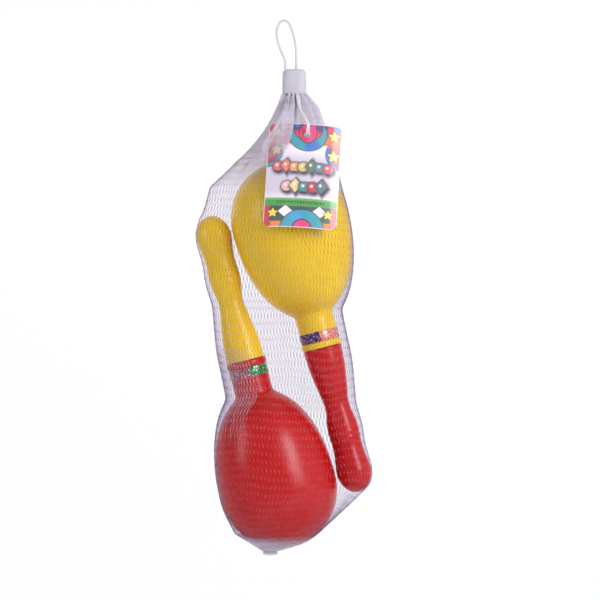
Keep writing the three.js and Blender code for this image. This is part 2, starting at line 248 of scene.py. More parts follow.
def grip_outline(along):
    """The handle's radius, over an array of distances: a waisted grip and a round knob."""
    start = head_end + gap
    samples, smoothed = 400, 15
    curve = catmull_rom(grip_points, samples) * MM
    even = np.linspace(0, curve[-1, 1], samples)
    radius = np.interp(even, curve[:, 1], curve[:, 0])
    window = np.hanning(2 * smoothed + 3)
    before = 2 * radius[0] - radius[smoothed:0:-1]
    padded = np.concatenate([before, radius, np.full(smoothed, radius[-1])])
    radius = np.convolve(padded, window[1:-1] / window.sum(), "valid")
    knob_start = start + curve[-1, 1]
    past = np.clip((along - knob_start) / (maraca_length - knob_start), 0, 1)
    knob = radius[-1] * np.sqrt(1 - past**2)
    return np.where(along > knob_start, knob, np.interp(along, start + even, radius))


def maraca_outline(along):
    return np.where(along <= head_end, head_outline(along), grip_outline(along))


class Maraca:
    """Where a maraca is, from its spin joint. Both joints' axes run up the pack; the maraca's own axis
    runs from the tip of its head to its knob, so the upper one's is turned over."""

    def __init__(self, name):
        self.name = name
        self.tip = np.array(joints[name + "_spin"]["pos_m"])
        sense = 1 if name == "lower" else -1
        self.axis = sense * np.array(joints[name + "_spin"]["axis"])
        self.side = np.array([self.axis[2], 0, -self.axis[0]])

    def place(self, points):
        """Points from (side, depth, along) to the row frame."""
        depth = np.cross(self.axis, self.side)
        return self.tip + points @ np.array([self.side, depth, self.axis])


lower, upper = Maraca("lower"), Maraca("upper")
bundle_centre = (lower.tip + upper.tip) / 2


def smoothstep(value, start, end):
    t = np.clip((value - start) / (end - start), 0, 1)
    return t * t * (3 - 2 * t)


# ---- mesh helpers


def circle(count):
    """Evenly spaced angles, once round."""
    return np.linspace(0, 2 * np.pi, count, endpoint=False)


def unit(vectors):
    """The same directions, at length one."""
    return vectors / np.maximum(np.linalg.norm(vectors, axis=-1, keepdims=True), 1e-12)


def add_values(mesh, name, values):
    """Stores one number for each vertex, for the mesh's material to read."""
    attribute = mesh.attributes.new(name, "FLOAT", "POINT")
    attribute.data.foreach_set("value", values.astype(np.float32))


def cell_corners(index):
    """The four corners of each cell of a grid of vertex numbers."""
    return np.stack([index[:-1, :-1], index[:-1, 1:], index[1:, 1:], index[1:, :-1]], axis=-1)


def quad_mesh(name, points, quads):
    mesh = bpy.data.meshes.new(name)
    mesh.vertices.add(len(points))
    mesh.vertices.foreach_set("co", np.ascontiguousarray(points, np.float32).ravel())
    mesh.loops.add(quads.size)
    mesh.loops.foreach_set("vertex_index", np.ascontiguousarray(quads, np.int32).ravel())
    mesh.polygons.add(len(quads))
    mesh.polygons.foreach_set("loop_start", np.arange(0, quads.size, 4, dtype=np.int32))
    mesh.update(calc_edges=True)
    return mesh


def lofted(name, sections):
    """A closed body from rings, shaped (rows, columns, 3), whose first and last rings shrink to a point."""
    rows, columns = sections.shape[:2]
    points = np.vstack([sections[:1, 0], sections[1:-1].reshape(-1, 3), sections[-1:, 0]])
    last = len(points) - 1
    faces = []
    for j in range(columns):
        k = (j + 1) % columns
        faces.append((0, 1 + k, 1 + j))
        for i in range(rows - 3):
            a, b = 1 + i * columns, 1 + (i + 1) * columns
            faces.append((a + j, a + k, b + k, b + j))
        end = 1 + (rows - 3) * columns
        faces.append((end + j, end + k, last))
    mesh = bpy.data.meshes.new(name)
    mesh.from_pydata(points.tolist(), [], faces)
    return mesh


def mould_seam(angle, radius):
    """Two fine raised lines where the halves of the mould met."""
    height, half_width, first_turn = 0.1 * MM, 0.35 * MM, 0.5
    sideways = np.abs(np.sin(angle - first_turn)) * radius
    return np.where(radius > 0, height * np.exp(-((sideways / half_width) ** 2)), 0)


def revolved(name, maraca, profile, seamed, around):
    """A body turned about a maraca's axis from rows of (radius, along), with mould seams on some rows."""
    radius, along = profile[:, 0], profile[:, 1]
    angle = circle(around)
    full = radius[:, None] + mould_seam(angle[None, :], radius[:, None]) * seamed[:, None]
    local = [full * np.cos(angle), full * np.sin(angle), np.repeat(along[:, None], around, axis=1)]
    return lofted(name, maraca.place(np.stack(local, axis=-1)))


# ---- maracas
head_wall = 1.3 * MM
shell_colours = {"yellow": (247, 207, 40), "red": (202, 10, 12)}


def shell_look(colour):
    """Blow-moulded plastic: glossy, with a faint orange peel and faint clouds in its colour."""
    look = Look(colour + "_plastic", Roughness=0.3, IOR=1.4, Subsurface_Weight=0.08, Subsurface_Scale=0.004)
    red, green, blue = shell_colours[colour]
    dark = srgb(red * 0.95, green * 0.93, blue * 0.9)
    clouds = look.spread(look.noise(45, 3), -0.4, 1.4)
    look.tint(look.mix(clouds, dark, srgb(red, green, blue)))
    look.vary_roughness(look.noise(160, 4), 0.2, 0.34)
    look.bump(look.noise(300, 2), 0.05, 0.0003)
    return look.material


shell_looks = {colour: shell_look(colour) for colour in shell_colours}


def make_head(maraca, colour):
    """The bowl with a nub at its tip, its shoulder and neck, a bead at the rim, and the wall inside."""
    nub_height, nub_radius = 0.35 * MM, 1.6 * MM
    bead_radius, bead_depth = 11.7 * MM, 0.7 * MM
    straight_bore = 4 * MM
    turn = np.linspace(0, np.pi / 2, 60)
    bowl = bowl_length * (1 - np.cos(turn))
    shoulder = np.linspace(bowl_length, head_end - rim_length, 120)[1:]
    along = np.concatenate([bowl, shoulder])
    radius = head_outline(along)
    nub = nub_height * np.exp(-((radius / nub_radius) ** 2))
    outer = np.stack([radius, along - nub * (along < bowl_length / 4)], axis=1)
    bead = np.linspace(0, np.pi, 12)
    rim_along = head_end - rim_length / 2 - rim_length / 2 * np.cos(bead)
    rim = np.stack([bead_radius - bead_depth + bead_depth * np.sin(bead) ** 0.5, rim_along], axis=1)
    inner_along = np.linspace(head_end, head_wall, 90)
    inner = head_outline(np.clip(inner_along, 0, head_end - straight_bore)) - head_wall
    inner = np.stack([np.clip(inner, 0, None), inner_along], axis=1)
    profile = np.vstack([outer, rim, inner])
    profile[[0, -1], 0] = 0
    seamed = np.arange(len(profile)) < len(outer)
    mesh = revolved(maraca.name + "_head_shell", maraca, profile, seamed, around=144)
    head = add_object(mesh, shell_looks[colour])
    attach(head, maraca.name + "_maraca")
    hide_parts(maraca.name + "_head")


def make_handle(maraca, colour):
    """The waisted grip with its knob and two fine rings, hollow, with a spigot inside the neck."""
    start, end = head_end + gap, maraca_length
    wall, spigot_start, step = 1.4 * MM, 97 * MM, 0.4 * MM
    ring_places, ring_height, ring_half_width = (50 * MM, 53.5 * MM), 0.25 * MM, 0.7 * MM
    grip = np.linspace(start, start + grip_points[-1][1] * MM, 150)
    knob = end - (end - grip[-1]) * np.cos(np.linspace(0, np.pi / 2, 26))[1:]
    along = np.concatenate([grip, knob])
    radius = grip_outline(along)
    for place in ring_places:
        radius = radius + ring_height * np.exp(-(((along - start - place) / ring_half_width) ** 2))
    radius[-1] = 0
    outer = np.stack([radius, along], axis=1)
    spigot = np.array([(spigot_radius, spigot_start), (spigot_radius, start), (radius[0] - step, start)])
    inner_along = np.linspace(end - wall, spigot_start, 60)
    bore = np.minimum(grip_outline(inner_along + wall * 0.5), spigot_radius) - wall
    bore[inner_along < start] = spigot_radius - wall
    bore[0] = 0
    profile = np.vstack([np.stack([bore, inner_along], axis=1), spigot, outer])
    seamed = np.arange(len(profile)) > len(bore) + len(spigot)
    mesh = revolved(maraca.name + "_grip", maraca, profile, seamed, around=96)
    handle = add_object(mesh, shell_looks[colour])
    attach(handle, maraca.name + "_maraca")
    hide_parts(maraca.name + "_handle")


def glitter_look(name, spans):
    """Holographic tape: coloured flakes that catch the light, in zones around the neck. Each span is
    (start, flake colour, second flake colour, bright flake colour), with its start in turns."""
    second_above, bright_above = 0.55, 0.86
    look = Look(name, Roughness=0.25, Metallic=0.35, Coat_Weight=0.5, Coat_Roughness=0.1)
    zone = look.node("Attribute", attribute_name="turn").outputs["Fac"]
    flakes = set_inputs(look.node("TexVoronoi"), Scale=1500)
    look.link(look.place(), flakes.inputs["Vector"])
    split = look.node("SeparateColor")
    look.link(flakes.outputs["Color"], split.inputs["Color"])
    pick = split.outputs["Red"]
    colour = None
    for start, first, second, bright in spans:
        dull = look.mix(look.maths("GREATER_THAN", pick, second_above), srgb(*first), srgb(*second))
        flake = look.mix(look.maths("GREATER_THAN", pick, bright_above), dull, srgb(*bright))
        if colour is None:
            colour = flake
        else:
            colour = look.mix(look.maths("GREATER_THAN", zone, start), colour, flake)
    look.tint(colour)
    look.vary_roughness(split.outputs["Green"], 0.12, 0.5)
    look.bump(split.outputs["Blue"], 0.5, 0.0003)
    return look.material


silver = (222, 214, 222)
tape_looks = {
    "lower": glitter_look("green_glitter", [
        (0, (20, 130, 60), (40, 160, 70), (210, 240, 190)),
        (0.14, (150, 30, 40), (180, 60, 70), silver),
        (0.38, (20, 120, 60), (60, 160, 90), silver),
        (0.56, (158, 34, 42), (176, 90, 96), silver),
        (0.765, (14, 110, 50), (36, 150, 70), (190, 235, 190)),
    ]),
    "upper": glitter_look("purple_glitter", [
        (0, (40, 14, 66), (70, 36, 110), silver),
        (0.2, (228, 110, 110), (235, 150, 90), silver),
        (0.42, (40, 14, 66), (74, 40, 120), silver),
        (0.56, (226, 104, 112), (238, 152, 96), (250, 200, 190)),
        (0.745, (52, 12, 74), (90, 34, 124), (200, 170, 220)),
    ]),
}


def make_tape(maraca):
    """A strip wound once round the neck, its end lapped over its start, with softly pressed edges."""
    around = 200
    start, end, first_turn = 101.3 * MM, 107.2 * MM, 0.9
    lap_height, wave_height, stand_off, least_gap = 0.16 * MM, 0.05 * MM, 0.06 * MM, 0.02 * MM
    angle = np.linspace(0, 2 * np.pi * 1.04, around)
    lap = lap_height * smoothstep(angle, 2 * np.pi - 0.05, 2 * np.pi + 0.08)
    across = np.array([0, 0.03, 0.1, 0.5, 0.9, 0.97, 1, 1, 0.5, 0, 0])
    lift = np.array([0, 0.22, 0.3, 0.3, 0.3, 0.22, 0, -0.04, -0.04, -0.04, 0]) * MM
    along = start + across * (end - start)
    wave = wave_height * np.sin(angle * 9)[:, None] * (lift > 0)
    neck = head_outline(along)[None, :]
    radius = np.maximum(neck + stand_off + lift[None, :] + lap[:, None] + wave, neck + least_gap)
    turned = (angle + first_turn)[:, None]
    local = [radius * np.cos(turned), radius * np.sin(turned), np.broadcast_to(along, radius.shape)]
    points = maraca.place(np.stack(local, axis=-1))[:, ::-1]
    index = np.arange(around * len(across)).reshape(around, len(across))
    index = np.hstack([index, index[:, :1]])
    mesh = quad_mesh(maraca.name + "_glitter_tape", points.reshape(-1, 3), cell_corners(index).reshape(-1, 4))
    add_values(mesh, "turn", np.repeat((turned[:, 0] / (2 * np.pi)) % 1, len(across)))
    tape = add_object(mesh, tape_looks[maraca.name])
    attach(tape, maraca.name + "_maraca")
    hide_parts(maraca.name + "_tape")


make_head(lower, "red")
make_handle(lower, "yellow")
make_tape(lower)
make_head(upper, "yellow")
make_handle(upper, "red")
make_tape(upper)


def restyle(name, material):
    node = frame["nodes"][name]
    for place in node.material_slots:
        place.material = material


def plain_plastic(name, colour, roughness=0.45):
    """Moulded plastic with faint flow marks."""
    look = Look(name, Roughness=roughness, IOR=1.48, Subsurface_Weight=0.1, Subsurface_Scale=0.002)
    red, green, blue = colour
    shade = look.spread(look.noise(260, 3), -0.3, 1.3)
    look.tint(look.mix(shade, srgb(red * 0.95, green * 0.95, blue * 0.95), srgb(*colour)))
    look.vary_roughness(look.noise(900, 3), roughness - 0.08, roughness + 0.1)
    look.bump(look.noise(1500, 3), 0.15, 0.0001)
    return look.material


plug_look = plain_plastic("plug_plastic", (226, 222, 210))
pellet_look = plain_plastic("pellet_plastic", (232, 232, 228), 0.55)
for maraca in (lower, upper):
    restyle(maraca.name + "_neck_plug", plug_look)
    for i in range(10):
        restyle(f"{maraca.name}_pellet_{i + 1}", pellet_look)

# ---- the net's surface
net_clearance = 0.5 * MM
strand_radius = 0.26 * MM
net_columns, net_rows = 720, 420
neck_bottom = -0.095
sag_share = 0.36
sag_half, sag_end = 52 * MM, 82 * MM
cinch_depth, cinch_power = 6 * MM, 1.5
cap_low, cap_high = (np.array(corner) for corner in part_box("hang_cap"))
seal_low, seal_high = (np.array(corner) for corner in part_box("net_seal"))
cap_x, cap_bottom, cap_top = (cap_low[0] + cap_high[0]) / 2, cap_low[2], cap_high[2]
seal_x, seal_top = (seal_low[0] + seal_high[0]) / 2, seal_high[2]
directions = circle(120)


def ellipse_reach(centre_x, half_width, half_depth):
    """How far an ellipse reaches in each direction, from the Z axis."""
    cos, sin = np.cos(directions), np.sin(directions)
    return centre_x * cos + np.hypot(half_width * cos, half_depth * sin)


def maraca_reach(heights):
    """How far the two maracas reach at each height, in each direction, from the Z axis."""
    reach = np.full((len(heights), len(directions)), -np.inf)
    cos, sin = np.cos(directions), np.abs(np.sin(directions))
    along = np.arange(0, maraca_length, 0.05 * MM)
    radius = maraca_outline(along) + net_clearance
    for maraca in (lower, upper):
        middle = maraca.tip[2] + along * maraca.axis[2]
        for i, height in enumerate(heights):
            across = (height - middle) / (radius * maraca.side[2])
            cut = np.abs(across) <= 1
            if not cut.any():
                continue
            x = maraca.tip[0] + along[cut] * maraca.axis[0] + radius[cut] * across[cut] * maraca.side[0]
            y = radius[cut] * np.sqrt(1 - across[cut] ** 2)
            reach[i] = np.maximum(reach[i], (x[:, None] * cos + y[:, None] * sin).max(axis=0))
    return reach


# Rings that hold the net out: the cap's mouth, the full folds at its shoulders and its lower left, and
# the seal. Each is (height, centre x, half width, half depth).
net_rings = [
    (cap_bottom, cap_x, 6.4 * MM, 4.2 * MM),
    (-0.050, 0.0074, 11.8 * MM, 7.5 * MM),
    (-0.0565, 0.0073, 14.6 * MM, 9.0 * MM),
    (-0.097, -0.037, 7.5 * MM, 7.0 * MM),
    (-0.297, -0.022, 6.5 * MM, 6.5 * MM),
    (seal_top, seal_x, 4.0 * MM, 1.1 * MM),
]


def upper_envelope(x, y):
    """The least concave curve over the points (x, y), at the same x; x increases."""
    kept = []
    for i in range(len(x)):
        if not np.isfinite(y[i]):
            continue
        while len(kept) > 1:
            a, b = kept[-2], kept[-1]
            if (y[b] - y[a]) * (x[i] - x[a]) <= (y[i] - y[a]) * (x[b] - x[a]):
                kept.pop()
            else:
                break
        kept.append(i)
    return np.interp(x, x[kept], y[kept])


def net_heights():
    """Heights down the net, closest together where it curves most."""
    stops = (cap_bottom, -0.078, neck_bottom, -0.290, -0.304, seal_top)
    counts = (24, 34, 110, 44, 34)
    spans = [np.linspace(a, b, n, endpoint=False) for a, b, n in zip(stops, stops[1:], counts)]
    return np.concatenate(spans + [[seal_top]])


def net_reach(heights):
    """At each height and direction, the net's reach from the Z axis, and the gap from a tight net to the
    maracas; then how tight it is at each height. It sags at the waist between the heads, and is drawn in
    below the cap on the left."""
    bare = maraca_reach(heights)
    held_out = bare.copy()
    for height, centre_x, half_width, half_depth in net_rings:
        row = np.argmin(np.abs(heights - height))
        held_out[row] = np.maximum(held_out[row], ellipse_reach(centre_x, half_width, half_depth))
    order = np.argsort(heights)
    tight = np.empty_like(bare)
    for j in range(len(directions)):
        tight[order, j] = upper_envelope(heights[order], held_out[order, j])
    own = np.where(np.isfinite(bare), bare, tight)
    slack = tight - own
    tightness = smoothstep(np.abs(heights - bundle_centre[2]), sag_half, sag_end)
    tightness = sag_share + (1 - sag_share) * tightness
    below_cap = np.clip((cap_bottom - heights) / (cap_bottom - neck_bottom), 0, 1)
    leftward = np.clip(-np.cos(directions), 0, 1)
    cinch = cinch_depth * np.sin(np.pi * below_cap)[:, None] * leftward[None, :] ** cinch_power
    reach = np.maximum(own + tightness[:, None] * slack - cinch, np.minimum(bare, tight))
    return reach, slack, tightness


def net_ring(height, centre_x, reach, slack, tightness):
    """Points around the net at a height, from the middle of the back, with pleats and gathers that fade
    down from the cap, and creases where it is slack."""
    flattest = 0.05
    pleats, pleat_size, pleat_fade = 11, 1.5 * MM, 20 * MM
    gathers, gather_size, gather_fade, gather_twist = 17, 0.5 * MM, 45 * MM, 90
    creases = ((0.05, 7, 60, 0), (0.04, 16, -95, 1))
    angle = np.linspace(0, 2 * np.pi, net_columns + 1) + np.pi / 2
    turn = (angle - np.pi / 2) / (2 * np.pi)
    facing = np.cos(directions[:, None] - directions[None, :])
    spans = reach[None, :] / np.maximum(facing, flattest)
    edge = np.where(facing > flattest, spans, np.inf).min(axis=1)
    known = np.append(directions, 2 * np.pi)
    radius = np.interp(angle % (2 * np.pi), known, np.append(edge, edge[0]))
    loose = np.interp(angle % (2 * np.pi), known, np.append(slack, slack[0]))
    drop = cap_bottom - height
    uneven = 0.3 * np.sin(2 * np.pi * 2 * turn)
    pleat = pleat_size * np.exp(-drop / pleat_fade) * np.sin(2 * np.pi * (pleats * turn + uneven))
    gather = np.sin(2 * np.pi * (gathers * turn) + drop * gather_twist)
    gather = gather_size * np.exp(-drop / gather_fade) * gather
    crease = 0
    for share, count, twist, start in creases:
        crease = crease + share * loose * np.sin(2 * np.pi * count * turn + height * twist + start)
    radius = radius + pleat + gather + crease * tightness
    return np.stack([centre_x + radius * np.cos(angle), radius * np.sin(angle), 0 * angle + height], axis=1)


def net_table():
    """Points on the net's surface, shaped (rows, columns, 3): rows at equal lengths down it, columns at
    equal lengths around it, from the middle of the back. Also its length."""
    heights = net_heights()
    reach, slack, tightness = net_reach(heights)
    centre = cap_x * smoothstep(heights, neck_bottom, cap_bottom)
    centre = centre + seal_x * (1 - smoothstep(heights, seal_top, seal_top + 12 * MM))
    reach = reach - centre[:, None] * np.cos(directions)
    rings = np.array([net_ring(*ring) for ring in zip(heights, centre, reach, slack, tightness)])

    step = np.linalg.norm(np.diff(rings[:, :, :2], axis=1), axis=2)
    run = np.concatenate([np.zeros((len(rings), 1)), np.cumsum(step, axis=1)], axis=1)
    even = np.empty((len(rings), net_columns, 3))
    for i in range(len(rings)):
        at = np.linspace(0, run[i, -1], net_columns, endpoint=False)
        for axis in range(3):
            even[i, :, axis] = np.interp(at, run[i], rings[i, :, axis])
    down = np.linalg.norm(np.diff(even, axis=0), axis=2).mean(axis=1)
    down = np.concatenate([[0], np.cumsum(down)])
    wanted = np.linspace(0, down[-1], net_rows)
    flat = even.reshape(len(even), -1)
    spaced = np.array([np.interp(wanted, down, flat[:, k]) for k in range(flat.shape[1])]).T
    return spaced.reshape(net_rows, net_columns, 3), down[-1]


net_points, net_length = net_table()


def net_normals():
    ahead = np.roll(net_points, -1, axis=1) - np.roll(net_points, 1, axis=1)
    normal = unit(np.cross(ahead, np.gradient(net_points, axis=0)))
    outward = net_points - net_points.mean(axis=1, keepdims=True)
    return normal * np.sign((normal * outward).sum(axis=(1, 2), keepdims=True))


net_out = net_normals()


def on_net(table, turn, drop):
    """A table's value at turns around (0 to 1, any whole number more) and share of the way down."""
    row = np.clip(drop, 0, 1) * (net_rows - 1)
    column = (turn % 1) * net_columns
    i = np.minimum(row.astype(int), net_rows - 2)
    j = column.astype(int) % net_columns
    k = (j + 1) % net_columns
    s, t = (row - i)[..., None], (column - np.floor(column))[..., None]
    top = table[i, j] * (1 - t) + table[i, k] * t
    low = table[i + 1, j] * (1 - t) + table[i + 1, k] * t
    return top * (1 - s) + low * s


# ---- strands
net_cells = 104
cell_length = 9.4 * MM
cells_down = round(net_length / cell_length)
samples_per_cell = 12
ring_sides = 5
weld_wander, swing_wander, swing_gain = 0.14, 0.12, 1.5
weld_start, weld_ramp, weld_swell = 0.62, 0.2, 0.35
ragged_share, thinnest = 0.35, 0.35


def wander(turn, drop, seed):
    """A smooth value, mostly from -1 to 1, that changes over the net."""
    draw = np.random.default_rng(seed)
    total = 0
    for _ in range(5):
        around, down = draw.integers(1, 9), draw.uniform(3, 16)
        total = total + np.sin(2 * np.pi * (around * turn + draw.uniform()) + down * drop)
    return total / 3


def ring_length(drop):
    """The length around the net at a share of the way down."""
    step = np.linalg.norm(net_points - np.roll(net_points, 1, axis=1), axis=2).sum(axis=1)
    return np.interp(drop, np.linspace(0, 1, net_rows), step)


def strands(name, first, last, top, bottom, lift=0, shift=0, push=None, cloudy=0.0):
    """Strands first to last of the net, from share top to share bottom of its length, as one mesh of
    fine tubes that swing between the welds they share with the neighbours on each side. Lifted strands
    are a fold that lies over the net, and taper to ragged lower ends."""
    number = np.arange(first, last)[:, None]
    samples = int((bottom - top) * cells_down * samples_per_cell) + 1
    share = np.linspace(0, 1, samples)[None, :]
    length = np.ones(number.shape)
    taper = np.ones(samples)
    if lift:
        length = 1 - ragged_share * np.random.default_rng(first).random(number.shape)
        taper = thinnest + (1 - thinnest) * (1 - smoothstep(share, 0.6, 1))
    drop = top + (bottom - top) * length * share
    cell = 1 / net_cells
    pitch = (number + 0.5 + shift) * cell / 2
    phase = drop * cells_down + weld_wander * wander(pitch, drop, 3)
    swing = np.abs((phase % 1) * 2 - 1) * 2 - 1
    weld = np.clip((np.abs(swing) - weld_start) / weld_ramp, 0, 1)
    swing = np.clip(swing * swing_gain, -1, 1)
    side = np.where(number % 2 == 0, 1, -1)
    reach = np.maximum(cell / 4 - 0.75 * strand_radius / ring_length(drop), cell / 16)
    turn = pitch + side * reach * swing + swing_wander * cell * wander(pitch, drop, 5)
    drop_here = drop + 0 * pitch
    normal = unit(on_net(net_out, turn, drop_here))
    place = on_net(net_points, turn, drop_here) + normal * lift
    if push is not None:
        place = push(place)
    beside = np.cross(unit(np.gradient(place, axis=1)), normal)
    radius = (strand_radius * (1 + weld_swell * weld) * taper)[..., None]
    rings = []
    for k in range(ring_sides):
        angle = 2 * np.pi * k / ring_sides
        rings.append(place + radius * (math.cos(angle) * normal + math.sin(angle) * beside))
    rings = np.stack(rings, axis=2)
    index = np.arange(weld.size * ring_sides).reshape(len(number), samples, ring_sides)
    beyond = np.roll(index, -1, axis=2)
    quads = np.stack([index[:, :-1], index[:, 1:], beyond[:, 1:], beyond[:, :-1]], axis=-1)
    mesh = quad_mesh(name, rings.reshape(-1, 3), quads.reshape(-1, 4))
    gathered = smoothstep(place[..., 2], -0.105, -0.055) + smoothstep(-place[..., 2], 0.296, 0.304)
    haze = np.maximum(gathered, cloudy * (1 - smoothstep(drop, bottom - 0.05, bottom)))
    add_values(mesh, "weld", np.repeat(weld.ravel(), ring_sides))
    add_values(mesh, "haze", np.repeat(haze.ravel(), ring_sides))
    piece = add_object(mesh, net_look)
    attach(piece, "pack")
    return piece


def make_net_look():
    """Clear drawn plastic: it dims what is behind it, and shows whiter at a weld and where it is gathered."""
    look = Look("net_plastic", Base_Color=srgb(236, 230, 242), Roughness=0.3, IOR=1.5)
    see_through = look.node("BsdfTransparent")
    blend = look.node("MixShader")
    weld = look.node("Attribute", attribute_name="weld").outputs["Fac"]
    haze = look.node("Attribute", attribute_name="haze").outputs["Fac"]
    body = look.maths("ADD", look.spread(haze, 0.012, 0.42), look.spread(weld, 0, 0.03))
    cloud = look.spread(look.noise(90, 2), -0.02, 0.02)
    look.link(look.maths("ADD", body, cloud), blend.inputs["Fac"])
    look.link(look.mix(haze, (0.9, 0.885, 0.915, 1), (0.95, 0.94, 0.97, 1)), see_through.inputs["Color"])
    look.link(see_through.outputs["BSDF"], blend.inputs[1])
    look.link(look.shader.outputs["BSDF"], blend.inputs[2])
    look.link(blend.outputs["Shader"], look.tree.nodes["Material Output"].inputs["Surface"])
    look.vary_roughness(look.noise(700, 2), 0.2, 0.45)
    look.bump(look.noise(2500, 2), 0.2, 0.0001)
    return look.material


net_look = make_net_look()
parts_around = 8
per_part = 2 * net_cells // parts_around
for part in range(parts_around):
    piece = strands(f"net_strands_{part + 1}", part * per_part, (part + 1) * per_part, 0, 1)
    if part == 0:
        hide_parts("net_bag")

# ---- cap, loop and seal
white_look = plain_plastic("white_plastic", (192, 188, 203), 0.5)


def super_ring(centre_x, half_width, half_depth, height):
    """A rounded-rectangle ring at a height."""
    power, columns = 2.6, 96
    cos, sin = np.cos(circle(columns)), np.sin(circle(columns))
    x = centre_x + half_width * np.sign(cos) * np.abs(cos) ** (2 / power)
    y = half_depth * np.sign(sin) * np.abs(sin) ** (2 / power)
    return np.stack([x, y, np.full(columns, height)], axis=1)


def make_cap():
    """The moulded cap: a closed, rounded top, flat sides with a slight flare, and an open mouth."""
    wide, deep = (cap_high[0] - cap_low[0]) / 2, (cap_high[1] - cap_low[1]) / 2
    wall = 1.3 * MM
    outer = [(0.02, 0), (0.5, 0), (0.7, 0.12), (0.82, 0.45), (0.9, 1.0), (0.945, 1.8), (0.955, 2.6)]
    outer += [(0.955 + 0.008 * k, 3 + 2.1 * k) for k in range(5)]
    outer += [(0.99, 13.2), (1, 13.6), (1, (cap_top - cap_bottom) / MM)]
    rings = [(share, cap_top - drop * MM, 0) for share, drop in outer]
    rings += [(0.99, cap_bottom, wall), (0.95, cap_bottom + 4 * MM, wall)]
    rings += [(0.92, cap_top - 3 * MM, wall), (0.03, cap_top - 2 * MM, 0)]
    sections = [
        super_ring(cap_x, wide * share - less, deep * share - less, height)
        for share, height, less in rings
    ]
    mesh = lofted("moulded_cap", np.array(sections)[:, ::-1])
    cap = add_object(mesh, white_look)
    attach(cap, "pack")
    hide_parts("hang_cap")


def bar(name, centre, rings):
    """A closed body from rings along a line of centres, drawn to a point at each end."""
    ends = [np.repeat(centre[i][None, None], rings.shape[1], axis=1) for i in (0, -1)]
    return lofted(name, np.concatenate([ends[0], rings, ends[1]]))


def tube(name, centre, radius, sides=14):
    """A round bar along points, its section square to them."""
    tangent = unit(np.gradient(centre, axis=0))
    across = unit(np.cross(tangent, [0, 1, 0]))
    depth = np.cross(across, tangent)
    angle = circle(sides)[None, :, None]
    spokes = np.cos(angle) * across[:, None] + np.sin(angle) * depth[:, None]
    rings = centre[:, None] + radius[:, None, None] * spokes
    return bar(name, centre, rings[:, ::-1])


def make_loop():
    """A springy moulded loop, thicker where its legs enter the cap."""
    wire_radius, foot_length, foot_share = 0.68 * MM, 1.6 * MM, 0.2
    route = [(0.9, -27.6), (0.4, -22), (-3.0, -13.5), (-4.2, -6.5), (-2.6, -1.0), (0.2, 0.6), (3.0, -1.2),
             (5.4, -7), (6.9, -15), (7.2, -22), (7.2, -27.6)]
    path = catmull_rom(route, 240) * MM
    centre = np.stack([path[:, 0], np.zeros(len(path)), path[:, 1]], axis=1)
    foot = np.exp(-((centre[:, 2] - cap_top) / foot_length) ** 2)
    mesh = tube("springy_loop", centre, wire_radius * (1 + foot_share * foot))
    loop = add_object(mesh, loop_look)
    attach(loop, "loop")
    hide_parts("hang_loop")


def make_seal():
    """The flat lump where the net's lower end is welded shut, pressed by ribbed jaws."""
    wide, deep = (seal_high[0] - seal_low[0]) / 2, (seal_high[1] - seal_low[1]) / 2
    ribs, rib_share, ripple = 3, 0.14, 0.12 * MM
    sections = []
    steps = 26
    for i in range(steps + 1):
        t = i / steps
        share = max(1 - abs(2 * t - 1) ** 3.2, 0) ** 0.4
        height = seal_high[2] + (seal_low[2] - seal_high[2]) * t
        pressed = (1 - rib_share) + rib_share * math.cos(t * 2 * math.pi * ribs)
        ring = super_ring(seal_x, wide * share, deep * share * pressed, height)
        ring[:, 2] += ripple * np.sin(ring[:, 0] / MM * 2.1) * share
        sections.append(ring)
    seal = add_object(lofted("welded_end", np.array(sections)[:, ::-1]), seal_look)
    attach(seal, "pack")
    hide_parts("net_seal")


loop_look = plain_plastic("loop_plastic", (205, 205, 212), 0.4)
seal_look = plain_plastic("seal_plastic", (214, 208, 222), 0.4)
make_cap()
make_loop()
make_seal()

# ---- header card
# Its own frame: x to the right, y back, z up from its centre.
card_width, card_height, card_thickness = 41.5 * MM, 62 * MM, 0.5 * MM
card_corner = 4 * MM
card_bend = 75 * MM
card_tilt, card_turn = math.radians(-16), math.radians(3.5)
card_centre = Vector((10.8, -32.4, -91)) * MM
card_lean = Matrix.Rotation(card_tilt, 4, "X") @ Matrix.Rotation(card_turn, 4, "Y")
card_frame = Matrix.Translation(card_centre) @ card_lean
card_hole = np.array([1.4, 24.5]) * MM
card_hole_radius = 1.9 * MM


def on_card(x, z, back=0.0):
    """Points in the row frame for places on the card's middle sheet."""
    y = x**2 / (2 * card_bend) + back
    local = np.stack([x, y + 0 * x, z + 0 * x], axis=-1)
    matrix = np.array(card_frame)
    return local @ matrix[:3, :3].T + matrix[:3, 3]


ink = (40, 22, 52)


